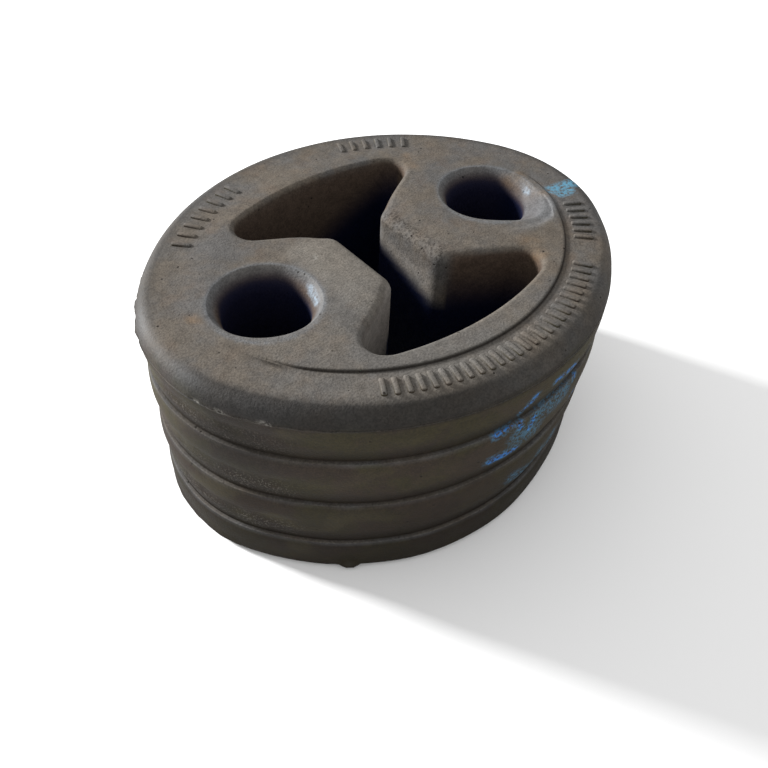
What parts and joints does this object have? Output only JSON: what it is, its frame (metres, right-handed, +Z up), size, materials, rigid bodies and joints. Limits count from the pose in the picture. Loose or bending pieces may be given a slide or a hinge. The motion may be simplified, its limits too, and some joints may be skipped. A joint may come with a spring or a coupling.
{
  "type": "exhaust hanger rubber",
  "caption": "Thick oval block of moulded rubber that hangs an exhaust from a vehicle: rods push through its bores, and windows let the bored tongues flex inside the outer ring.",
  "frame": {"origin": "middle of the underside, on the floor plane", "axes": "+X along the length through both bores, +Y across the width, +Z up along the bores towards the face with the raised pad"},
  "size_m": [0.0748, 0.0624, 0.0344],
  "materials": {
    "rubber": "dusty, worn, matt moulded rubber"
  },
  "bodies": {
    "root": {"hanger_rubber": "rubber"}
  },
  "joints": []
}
